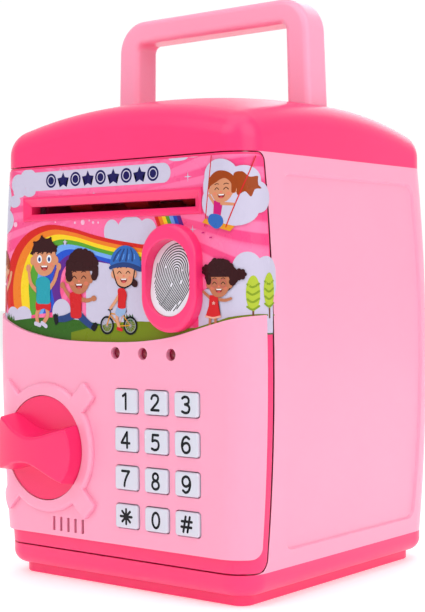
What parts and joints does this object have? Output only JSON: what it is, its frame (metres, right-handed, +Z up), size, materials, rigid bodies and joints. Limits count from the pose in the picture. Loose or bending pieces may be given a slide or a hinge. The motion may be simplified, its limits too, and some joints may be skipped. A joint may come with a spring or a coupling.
{
  "type": "toy safe coin bank",
  "caption": "Upright box-shaped toy safe with a domed lid, carrying handle, hinged keypad door with turning knob, note slot and fingerprint window.",
  "frame": {"origin": "middle of the base's flat underside", "axes": "+Z up, -Y out of the door's face, +X to the viewer's right as they face the door"},
  "size_m": [0.1312, 0.1398, 0.2245],
  "materials": {
    "hot_pink": "glossy moulded ABS",
    "light_pink": "satin gloss moulded ABS",
    "printed_sheet": "glossy printed vinyl",
    "window_print": "glossy printed plate",
    "key_white": "satin white ABS with black print",
    "red_lens": "dark red clear plastic",
    "screw_steel": "zinc plated",
    "pin_steel": "plain steel",
    "motor_can": "drawn steel can",
    "board": "green lacquered laminate",
    "grey_rubber": "silicone sheet",
    "red_rubber": "moulded rubber",
    "black_plastic": "moulded ABS",
    "white_gear": "acetal",
    "speaker_paper": "pressed paper",
    "copper_coil": "enamelled copper wire",
    "cell_wrap": "printed sleeve"
  },
  "bodies": {
    "housing": {"base_tray": "hot_pink", "body_shell": "light_pink", "top_cover": "hot_pink", "handle": "light_pink", "base_screws": "screw_steel", "cover_screws": "screw_steel", "handle_screws": "screw_steel", "hinge_pins": "pin_steel", "latch_keeper": "light_pink"},
    "door": {"door_panel": "hot_pink", "front_panel": "light_pink", "graphic_sheet": "printed_sheet", "note_slot_frame": "hot_pink", "sensor_bezel": "hot_pink", "fingerprint_window": "window_print", "sensor_board": "board", "lamp_lenses": "red_lens", "key_mat": "grey_rubber", "keypad_board": "board", "main_board": "board", "speaker_frame": "pin_steel", "speaker_cone": "speaker_paper", "door_back": "light_pink", "door_screws": "screw_steel", "solenoid_frame": "pin_steel", "solenoid_coil": "copper_coil", "plunger_spring": "pin_steel", "battery_box": "black_plastic", "cells": "cell_wrap", "cell_contacts": "pin_steel", "feed_motor": "motor_can", "roller_brackets": "hot_pink"},
    "turn_knob": {"knob": "hot_pink", "knob_pinion": "white_gear", "knob_screw": "screw_steel"},
    "latch": {"latch_bolt": "white_gear"},
    "lock_plunger": {"solenoid_plunger": "pin_steel"},
    "drive_roller": {"drive_shaft": "pin_steel", "drive_tyres": "red_rubber", "roller_gear": "white_gear"},
    "idler_roller": {"idler_shaft": "pin_steel", "idler_tyres": "red_rubber"},
    "motor_rotor": {"motor_pinion": "white_gear"},
    "cell_cover": {"battery_cover": "light_pink", "battery_cover_screw": "screw_steel"},
    "key_1_cap": {"key_1": "key_white"},
    "key_2_cap": {"key_2": "key_white"},
    "key_3_cap": {"key_3": "key_white"},
    "key_4_cap": {"key_4": "key_white"},
    "key_5_cap": {"key_5": "key_white"},
    "key_6_cap": {"key_6": "key_white"},
    "key_7_cap": {"key_7": "key_white"},
    "key_8_cap": {"key_8": "key_white"},
    "key_9_cap": {"key_9": "key_white"},
    "key_star_cap": {"key_star": "key_white"},
    "key_0_cap": {"key_0": "key_white"},
    "key_hash_cap": {"key_hash": "key_white"}
  },
  "joints": [
    {"name": "door_hinge", "type": "hinge", "parent": "housing", "child": "door", "pos_m": [0.0565, -0.0557, 0.0864], "axis": [0, 0, 1], "range_deg": [0, 105]},
    {"name": "knob_turn", "type": "hinge", "parent": "door", "child": "turn_knob", "pos_m": [-0.0338, -0.0627, 0.0516], "axis": [0, 1, 0], "range_deg": [0, 90]},
    {"name": "latch_slide", "type": "slide", "parent": "door", "child": "latch", "axis": [-1, 0, 0], "range_m": [0, 0.00786]},
    {"name": "plunger_lift", "type": "slide", "parent": "door", "child": "lock_plunger", "axis": [0, 0, 1], "range_m": [0, 0.0025]},
    {"name": "drive_roller_turn", "type": "hinge", "parent": "door", "child": "drive_roller", "pos_m": [0, -0.0465, 0.138], "axis": [1, 0, 0], "continuous": true},
    {"name": "idler_roller_turn", "type": "hinge", "parent": "door", "child": "idler_roller", "pos_m": [0, -0.0465, 0.1483], "axis": [1, 0, 0], "continuous": true},
    {"name": "motor_turn", "type": "hinge", "parent": "door", "child": "motor_rotor", "pos_m": [0.0455, -0.0432, 0.12234], "axis": [1, 0, 0], "continuous": true},
    {"name": "battery_cover_lift", "type": "slide", "parent": "door", "child": "cell_cover", "axis": [0, 1, 0], "range_m": [0, 0.02]},
    {"name": "key_1_press", "type": "slide", "parent": "door", "child": "key_1_cap", "axis": [0, 1, 0], "range_m": [0, 0.0008], "stiffness_N_per_m": 300},
    {"name": "key_2_press", "type": "slide", "parent": "door", "child": "key_2_cap", "axis": [0, 1, 0], "range_m": [0, 0.0008], "stiffness_N_per_m": 300},
    {"name": "key_3_press", "type": "slide", "parent": "door", "child": "key_3_cap", "axis": [0, 1, 0], "range_m": [0, 0.0008], "stiffness_N_per_m": 300},
    {"name": "key_4_press", "type": "slide", "parent": "door", "child": "key_4_cap", "axis": [0, 1, 0], "range_m": [0, 0.0008], "stiffness_N_per_m": 300},
    {"name": "key_5_press", "type": "slide", "parent": "door", "child": "key_5_cap", "axis": [0, 1, 0], "range_m": [0, 0.0008], "stiffness_N_per_m": 300},
    {"name": "key_6_press", "type": "slide", "parent": "door", "child": "key_6_cap", "axis": [0, 1, 0], "range_m": [0, 0.0008], "stiffness_N_per_m": 300},
    {"name": "key_7_press", "type": "slide", "parent": "door", "child": "key_7_cap", "axis": [0, 1, 0], "range_m": [0, 0.0008], "stiffness_N_per_m": 300},
    {"name": "key_8_press", "type": "slide", "parent": "door", "child": "key_8_cap", "axis": [0, 1, 0], "range_m": [0, 0.0008], "stiffness_N_per_m": 300},
    {"name": "key_9_press", "type": "slide", "parent": "door", "child": "key_9_cap", "axis": [0, 1, 0], "range_m": [0, 0.0008], "stiffness_N_per_m": 300},
    {"name": "key_star_press", "type": "slide", "parent": "door", "child": "key_star_cap", "axis": [0, 1, 0], "range_m": [0, 0.0008], "stiffness_N_per_m": 300},
    {"name": "key_0_press", "type": "slide", "parent": "door", "child": "key_0_cap", "axis": [0, 1, 0], "range_m": [0, 0.0008], "stiffness_N_per_m": 300},
    {"name": "key_hash_press", "type": "slide", "parent": "door", "child": "key_hash_cap", "axis": [0, 1, 0], "range_m": [0, 0.0008], "stiffness_N_per_m": 300}
  ],
  "couplings": [
    {"joint": "latch_slide", "follows": "knob_turn", "m_per_rad": 0.005},
    {"joint": "motor_turn", "follows": "drive_roller_turn", "ratio": -1.6667},
    {"joint": "idler_roller_turn", "follows": "drive_roller_turn", "ratio": -1}
  ]
}
